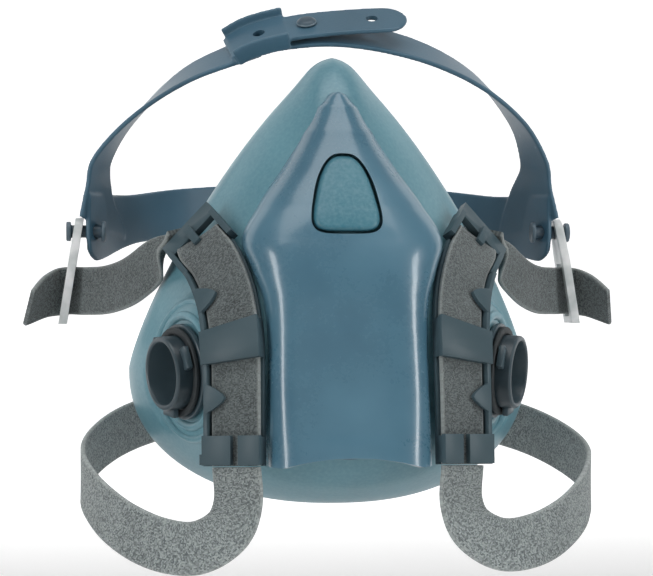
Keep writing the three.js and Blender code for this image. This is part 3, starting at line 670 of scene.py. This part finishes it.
def eased_block(size, centre, ease_by=0.4):
    nothing_selected()
    bpy.ops.mesh.primitive_cube_add(size=1, location=Vector(centre) * MM, scale=Vector(size) * MM)
    obj = bpy.context.object
    bpy.ops.object.transform_apply(location=True, rotation=True, scale=True)
    apply_modifier(obj, "BEVEL", width=ease_by * MM, segments=2)
    return obj


def join_all(first, *others):
    nothing_selected()
    for other in others:
        other.select_set(True)
    first.select_set(True)
    bpy.context.view_layer.objects.active = first
    bpy.ops.object.join()
    return first


# %% The left port, and its twin
port = close_profile(turned("port_left_turned", [
    (9.6, -7), (11.6, -7), (11.6, -0.3), (14.4, -0.2), (14.8, 0.2), (14.8, 1.3), (14.5, 1.6),
    (11.8, 1.6), (11.4, 2.0), (11.4, 7.5), (11.1, 8.0), (10.6, 8.2), (10.2, 8.2),
    (9.8, 7.9), (9.6, 7.4),
]))
lugs = []
for turn in (0.05, 0.385, 0.715):
    lug = eased_block((3.2, 7, 2), (12.0, 0, 4.9))
    only(lug)
    bpy.ops.object.mode_set(mode="EDIT")
    bpy.ops.mesh.select_all(action="SELECT")
    bpy.ops.transform.rotate(
        value=turn * 2 * math.pi, orient_axis="Z", center_override=(0, 0, 0)
    )
    bpy.ops.object.mode_set(mode="OBJECT")
    lugs.append(lug)
join_all(port, *lugs)
stand_on(port, PORT_SEAT, PORT_AXIS)
smooth(port, 30)
give(port, PORT)
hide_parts("port_left")
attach(port, "mask")
port_twin = copy_across(port, "port_right_turned")
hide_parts("port_right")
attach(port_twin, "mask")

# %% [markdown]
# ## Webbing that follows its route
# A strap is flat, and it stays one strap width however it bends. So its route is a line through
# space with a direction across it at every point. A long thin grid is wrapped round a rounded
# section and swept along that route. Its map runs along the strap in strap widths, by the distance
# walked, so the weave is never stretched.

# %% A route, walked evenly
STRAP_WIDTH, STRAP_THICK = 16.0, 1.5


class Route:
    """stops: rows of x, y, z and the direction across, in mm."""

    def __init__(self, stops, count=400):
        stops = np.asarray(stops, float)
        knots = [0.0]
        for a, b in zip(stops[:-1, :3], stops[1:, :3]):
            knots.append(knots[-1] + math.sqrt(np.linalg.norm(b - a)))
        self.knots, self.stops = np.asarray(knots), stops
        walk = [self._raw(t) for t in np.linspace(0, knots[-1], count)]
        self.points = np.asarray(walk)
        steps = np.linalg.norm(np.diff(self.points[:, :3], axis=0), axis=1)
        self.far = np.concatenate([[0], np.cumsum(steps)])
        self.length = self.far[-1]

    def _raw(self, t):
        k, rows = self.knots, self.stops
        i = min(max(int(np.searchsorted(k, t)) - 1, 0), len(rows) - 2)
        h = k[i + 1] - k[i]
        s = (t - k[i]) / h

        def slope(j):
            a, b = max(j - 1, 0), min(j + 1, len(rows) - 1)
            return (rows[b] - rows[a]) / (k[b] - k[a])

        m0, m1 = slope(i) * h, slope(i + 1) * h
        return (
            (2 * s ** 3 - 3 * s ** 2 + 1) * rows[i] + (s ** 3 - 2 * s ** 2 + s) * m0
            + (3 * s ** 2 - 2 * s ** 3) * rows[i + 1] + (s ** 3 - s ** 2) * m1
        )

    def at(self, part):
        """The frame at a part of its length: middle, across and outward."""
        far = part * self.length
        row = [np.interp(far, self.far, self.points[:, i]) for i in range(6)]
        near = [
            [np.interp(far + d, self.far, self.points[:, i]) for i in range(3)] for d in (-0.8, 0.8)
        ]
        along = Vector(near[1]) - Vector(near[0])
        along.normalize()
        side = Vector(row[3:])
        side = (side - along * side.dot(along)).normalized()
        return Vector(row[:3]), side, along.cross(side)


def band(name, route, width, thick, steps, lift=0.0, low=None, high=None, edge=0.5, part=(0, 1)):
    """A band of rounded section along a route, or a part of it, with a map in strap widths."""
    # Each point of the section: its part across, its part through, and its share of the edge radius.
    ring = []
    rows = 8
    for i in range(rows):
        ring.append((-1 + 2 * i / rows, 1, 0))
    ring += [(1, 1, 0.3), (1, 0.5, 1), (1, -0.5, 1), (1, -1, 0.3)]
    for i in range(rows):
        ring.append((1 - 2 * i / rows, -1, 0))
    ring += [(-1, -1, 0.3), (-1, -0.5, 1), (-1, 0.5, 1), (-1, 1, 0.3)]
    nothing_selected()
    bpy.ops.mesh.primitive_grid_add(x_subdivisions=len(ring), y_subdivisions=steps, size=1)
    obj = bpy.context.object
    obj.name = obj.data.name = name
    own = []
    for point in obj.data.vertices:
        u, v = point.co.x + 0.5, point.co.y + 0.5
        across, up, out = ring[round(u * len(ring)) % len(ring)]
        v = part[0] + (part[1] - part[0]) * v
        middle, side, off = route.at(v)
        a = low(v) if low else -width / 2
        b = high(v) if high else width / 2
        place = (a + b) / 2 + across * ((b - a) / 2 - edge)
        if abs(across) == 1:
            place += across * edge * out
        point.co = (middle + side * place + off * (lift + up * thick / 2)) * MM
        own.append((0.5 + place / STRAP_WIDTH, v * route.length / STRAP_WIDTH))
    layer = obj.data.uv_layers.active or obj.data.uv_layers.new()
    for loop in obj.data.loops:
        layer.data[loop.index].uv = own[loop.vertex_index]
    only(obj)
    bpy.ops.object.mode_set(mode="EDIT")
    bpy.ops.mesh.select_all(action="SELECT")
    bpy.ops.mesh.remove_doubles(threshold=0.005 * MM)
    bpy.ops.mesh.select_all(action="DESELECT")
    bpy.ops.mesh.select_mode(type="EDGE")
    bpy.ops.mesh.select_non_manifold(extend=False)
    bpy.ops.mesh.edge_face_add()
    bpy.ops.mesh.select_all(action="SELECT")
    bpy.ops.mesh.normals_make_consistent(inside=False)
    bpy.ops.mesh.select_mode(type="VERT")
    bpy.ops.object.mode_set(mode="OBJECT")
    smooth(obj, 50)
    return obj


# %% The webbing in the yoke, over the cheek and round the neck
YOKE_STOPS = [
    (41.6, -14.9, 12.4, 0.78, 0.44, -0.46), (42.2, -17.8, 12.4, 0.78, 0.44, -0.46),
    (42.1, -19.6, 11.8, 0.78, 0.44, -0.46), (38, -27.6, 6, 0.81, 0.44, -0.38),
    (34.8, -35.4, -3, 0.85, 0.46, -0.22), (33.3, -41.7, -13, 0.865, 0.49, -0.08),
    (32.8, -46.2, -24, 0.86, 0.51, 0), (32.8, -48.4, -38, 0.86, 0.51, 0),
    (32.8, -49.8, -54, 0.86, 0.51, 0),
]
UPPER_STOPS = [
    (47.3, -8.2, 17.7, 0.78, 0.44, -0.46), (50.9, -2.6, 14.6, 0.7, 0.36, -0.62),
    (55.4, 3.4, 9.4, 0.44, 0.24, -0.86), (60.8, 9, 4.2, 0.1, 0.05, -1),
    (66, 15.5, 0.6, 0, 0, -1), (72.5, 25, -1.6, 0, 0, -1), (79.5, 33, -2, 0, 0, -1),
    (86, 38, -2, 0, 0.05, -1), (92, 35.2, -3.6, 0, 0.45, -0.89),
    (98, 29, -7.6, 0.1, 0.75, -0.65),
]
NECK_STOPS = [
    (34, -51.9, -54.2, 0.86, 0.51, 0), (33.6, -52, -65, 0.86, 0.5, 0.08),
    (37, -52.6, -73, 0.74, 0.45, 0.5), (46, -52.2, -78, 0.36, 0.3, 0.88),
    (57, -49.5, -77, 0.1, 0.12, 1), (67.5, -43, -72.4, 0, 0, 1),
    (75.5, -33, -66, 0, 0, 1), (79.6, -19, -59.6, 0, 0, 1), (77.5, -1, -54.4, 0, 0, 1),
    (69, 22, -49, 0, 0, 1), (56, 46, -45.4, 0, 0, 1), (38, 71, -43, 0, 0, 1),
    (16.5, 86, -42, 0, 0, 1),
]


def strap(name, stops, lift, steps, weave):
    route = Route(stops)
    piece = band(name, route, STRAP_WIDTH, STRAP_THICK, steps, lift=lift)
    give(piece, weave)
    print(name, "is", round(route.length), "mm long")
    return piece, route.length


def declare(*, node):
    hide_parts(node)


# The front and upper straps wear the darker copy of the webbing, which is painted shade.
front, front_length = strap("front_webbing_left", YOKE_STOPS, 2.4, 90, SHADED_WEBBING)
upper, upper_length = strap("upper_webbing_left", UPPER_STOPS, 0, 180, SHADED_WEBBING)
neck, neck_length = strap("neck_webbing_left", NECK_STOPS, 0, 300, WEBBING)
for side, pieces in (
    ("left", (front, upper, neck)),
    ("right", tuple(copy_across(p, p.name.replace("left", "right")) for p in (front, upper, neck))),
):
    a, b, c = pieces
    declare(node=f"front_strap_{side}")
    declare(node=f"upper_strap_{side}")
    declare(node=f"neck_strap_{side}")
    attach(a, "mask")
    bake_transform(b)
    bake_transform(c)

# %% [markdown]
# ## Pieces that keep their measured shape
# The yokes, loops, gaskets, slides, studs, clasps and valves already have their true shape in the
# measured model, but with knife-sharp edges. A moulded part never has those, and the light on an
# eased edge is what makes plastic look like plastic. So each is copied, its flat faces are made
# whole again, and a narrow bevel eases every edge.


# %% Ease the edges of a measured piece
def eased_copy(node, material, body, width=0.3, segments=2, angle=28):
    nothing_selected()
    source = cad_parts[node]
    piece = source.copy()
    piece.data = source.data.copy()
    scene.collection.objects.link(piece)
    piece.parent = None
    piece.name = piece.data.name = node + "_eased"
    only(piece)
    bpy.ops.object.mode_set(mode="EDIT")
    bpy.ops.mesh.select_all(action="SELECT")
    bpy.ops.mesh.remove_doubles(threshold=0.002 * MM)
    bpy.ops.mesh.dissolve_limited(angle_limit=math.radians(1.5))
    bpy.ops.object.mode_set(mode="OBJECT")
    apply_modifier(
        piece, "BEVEL", width=width * MM, segments=segments, limit_method="ANGLE",
        angle_limit=math.radians(angle), use_clamp_overlap=True, harden_normals=False,
    )
    smooth(piece, 40)
    give(piece, material)
    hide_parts(node)
    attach(piece, body)
    return piece


EASED = [
    ("yoke", YOKE, "yoke", "mask", 0.35), ("yoke_loop", YOKE, "yoke", "mask", 0.4),
    ("port_gasket", RUBBER, "gasket", "mask", 0.3),
    ("inhalation_seat", ADAPTER, "adapter", "mask", 0.2),
    ("strap_slide", SLIDE, "slide", "upper_harness", 0.6),
    ("slide_stud", STUDS, "cradle", "upper_harness", 0.4),
]
for node, material, slot, body, width in EASED:
    for side in ("left", "right"):
        eased_copy(f"{node}_{side}", material, body, width)
for side in ("left", "right"):
    eased_copy(f"inhalation_flap_{side}", VALVE, f"inhalation_valve_{side}", 0.2)
for node, material, slot, body, width in [
    ("centre_adapter", ADAPTER, "adapter", "mask", 0.3),
    ("exhalation_seat", ADAPTER, "adapter", "mask", 0.25),
    ("exhalation_flap", VALVE, "valve", "exhalation_valve", 0.2),
    ("clasp_hook", YOKE, "yoke", "neck_harness", 0.35),
    ("clasp_eye", YOKE, "yoke", "neck_harness", 0.35),
    ("crown_stud", STUDS, "cradle", "cradle", 0.3),
]:
    eased_copy(node, material, body, width)
print(len(EASED) * 2 + 8, "measured pieces have eased edges")

# %% [markdown]
# ## The head cradle
# The cradle is moulded from a slightly springy plastic: a band behind the head and a band over the
# crown, which widen and run together in a rounded fork at each corner. Bands laid end to end would
# show a joint there. So overlapping bands are joined, skinned over as one body with an even net of
# small faces, and smoothed, which leaves the soft inside corners and soft edges of a moulding.

# %% The bands of the cradle
def mirrored(stops):
    return [(-x, y, z, -a, b, c) for x, y, z, a, b, c in stops]


REAR_HALF = [
    (78.6, 34.2, 21, 0, 0, 1), (76.6, 38, 21, 0, 0, 1), (66, 60, 22.5, 0, 0, 1),
    (42, 88, 26.5, 0, 0, 1), (0, 101, 29, 0, 0, 1),
]
rear_route = Route(REAR_HALF + mirrored(REAR_HALF[:-1])[::-1])
# Each row: x, y, z, the direction across, and how far the place leans to the wearer's left.
CROWN = [
    (77, 39.6, 21, -0.5, 0.87, 0, 0), (75.2, 41.4, 32, -0.45, 0.89, 0, 0),
    (74.2, 41, 42, -0.35, 0.94, 0.02, 0.3), (65.8, 39.5, 56, -0.1, 1, 0.06, 2.2),
    (48.5, 37.5, 71, 0, 0.93, 0.36, 3.5), (26, 36, 80.8, 0, 0.86, 0.51, 4),
    (0, 35.5, 85, 0, 0.84, 0.545, 4), (-26, 36, 82.4, 0, 0.86, 0.51, 4),
]
TONGUE = [
    (-31.5, 36.4, 79.2), (-24, 35.4, 83.2), (-12, 34.4, 86.4), (0, 33.9, 88.2),
    (14, 33.6, 89.4), (29, 33.4, 90.2),
]
tongue_route = Route([(*place, 0, 0.84, 0.545) for place in TONGUE])


def crown_route(hand, keep):
    stops = [(x + hand * lean, *rest) for x, *rest, lean in CROWN[:keep]]
    return Route(stops if hand > 0 else mirrored(stops))


def corner(part):
    end = min(part, 1 - part)
    return 1 - ease(0.02, 0.17, end)


def rounded(part):
    """Draws the lower corner plate in to a round end."""
    left = min(part, 1 - part) / 0.028
    return 1 if left >= 1 else 0.35 + 0.65 * math.sqrt(1 - (1 - left) ** 2)


def fork(part):
    return (1 - ease(0.02, 0.2, part)) ** 2


def tongue_half(part):
    left = (1 - part) / 0.13
    return 8.5 if left >= 1 else 8.5 * math.sqrt(max(0.02, 1 - (1 - left) ** 2))


pieces = [band(
    "cradle_moulding", rear_route, 17, 1.6, 260,
    low=lambda part: (-8.5 - 4.5 * corner(part)) * rounded(part),
    high=lambda part: 8.5 + 1.3 * corner(part),
)]
for hand, keep in ((1, 8), (-1, 6)):
    pieces.append(band(
        f"crown_{hand}", crown_route(hand, keep), 17, 1.6, 150,
        low=lambda part: -8.5, high=lambda part: 8.5 + 14 * fork(part),
    ))
pieces.append(band(
    "tongue", tongue_route, 17, 1.6, 70, low=lambda part: -tongue_half(part), high=tongue_half,
))
pieces.append(band("keeper", tongue_route, 20.8, 2.2, 24, lift=-0.1, part=(0.02, 0.34)))
for low, high in ((-10.7, -9.0), (9.0, 10.7)):
    pieces.append(band(
        "rail", tongue_route, 1.7, 6.0, 24, lift=0.6, edge=0.3, part=(0.02, 0.34),
        low=lambda part, low=low: low, high=lambda part, high=high: high,
    ))
cradle = join_all(*pieces)
apply_modifier(cradle, "REMESH", mode="VOXEL", voxel_size=0.45 * MM)
apply_modifier(cradle, "SMOOTH", factor=0.5, iterations=5)
for side in (1, -1):
    open_round(cradle, 2.4, (77 * side, 38, 18), (1, 0, 0), 8)
for x in (-21, 17):
    part = np.interp(x, tongue_route.points[:, 0], tongue_route.far) / tongue_route.length
    middle, _, off = tongue_route.at(part)
    open_round(cradle, 2.1, middle, off, 2)
smooth(cradle, 60)
give(cradle, CRADLE)
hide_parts("cradle_rear", "crown_left", "crown_right")
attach(cradle, "cradle")
print("the cradle has", len(cradle.data.polygons), "faces")

# %% [markdown]
# ## Studio
# A white sweep runs under and behind the respirator, so no line shows where the floor ends. Two
# tall soft boxes stand at its sides and give the long upright highlights that describe the snout,
# a broad one hangs above, and a weak one in front opens the shadows.

# %% The sweep
nothing_selected()
bpy.ops.mesh.primitive_grid_add(x_subdivisions=2, y_subdivisions=60, size=1)
sweep = bpy.context.object
sweep.name = "studio_sweep"
for point in sweep.data.vertices:
    run = (point.co.y + 0.5) * 9.0
    bend = min(max(run - 4.5, 0), math.pi / 2)
    y = -3.0 + min(run, 4.5) + math.sin(bend)
    z = 1 - math.cos(bend) + max(0, run - 4.5 - math.pi / 2)
    point.co = Vector((point.co.x * 12, y, z - 0.16))
smooth(sweep, 60)
paper = Finish("studio paper", Roughness=0.9)
paper.shader.inputs["Emission Strength"].default_value = 0.75
grain = paper.noise(3, detail=1)
paper.surface(paper.blend(grain, (0.78, 0.78, 0.78, 1), (0.82, 0.82, 0.82, 1)), None)
back = paper.node("ShaderNodeSeparateXYZ", {}, {0: paper.coordinates()}, output=1)
behind = paper.between(back, 0.35, 0.9)
paper.feed(paper.shader.inputs["Emission Color"], paper.blend(behind, (0, 0, 0, 1), (1, 1, 1, 1)))
sweep.data.materials.append(paper.material)


# %% Soft boxes
def soft_box(name, place, size, watts, aim=(0, 0, 0), colour=(1, 1, 1)):
    nothing_selected()
    bpy.ops.object.light_add(type="AREA", location=place)
    lamp = bpy.context.object
    lamp.name = lamp.data.name = name
    lamp.data.shape = "RECTANGLE"
    lamp.data.size, lamp.data.size_y = size
    lamp.data.energy = watts
    lamp.data.color = colour
    lamp.rotation_euler = (Vector(aim) - Vector(place)).to_track_quat("-Z", "Y").to_euler()
    return lamp


soft_box("left_box", (-1.1, -0.75, 0.25), (0.24, 1.2), 8, (0, 0, 0))
soft_box("right_box", (1.15, -0.8, 0.3), (0.24, 1.2), 9.5, (0, 0, 0))
soft_box("top_box", (0, -0.3, 1.2), (1.4, 0.9), 9.5, (0, 0, 0))
soft_box("front_fill", (-0.2, -2.2, 0.5), (1.2, 1.2), 1, (0, 0, 0))
world = scene.world or bpy.data.worlds.new("studio air")
scene.world = world
world.use_nodes = True
world.node_tree.nodes["Background"].inputs["Color"].default_value = (1, 1, 1, 1)
world.node_tree.nodes["Background"].inputs["Strength"].default_value = 0.11

# %% The camera
camera_data = bpy.data.cameras.new("studio_camera")
camera = bpy.data.objects.new("studio_camera", camera_data)
scene.collection.objects.link(camera)
camera.location = (-0.0732, -0.6962, 0)
camera.rotation_euler = (math.pi / 2, 0, -math.radians(6))
camera_data.lens = 119.6
camera_data.sensor_width = 36
camera_data.shift_x = -0.0084
camera_data.shift_y = -0.0046
scene.camera = camera
scene.view_settings.view_transform = "Standard"
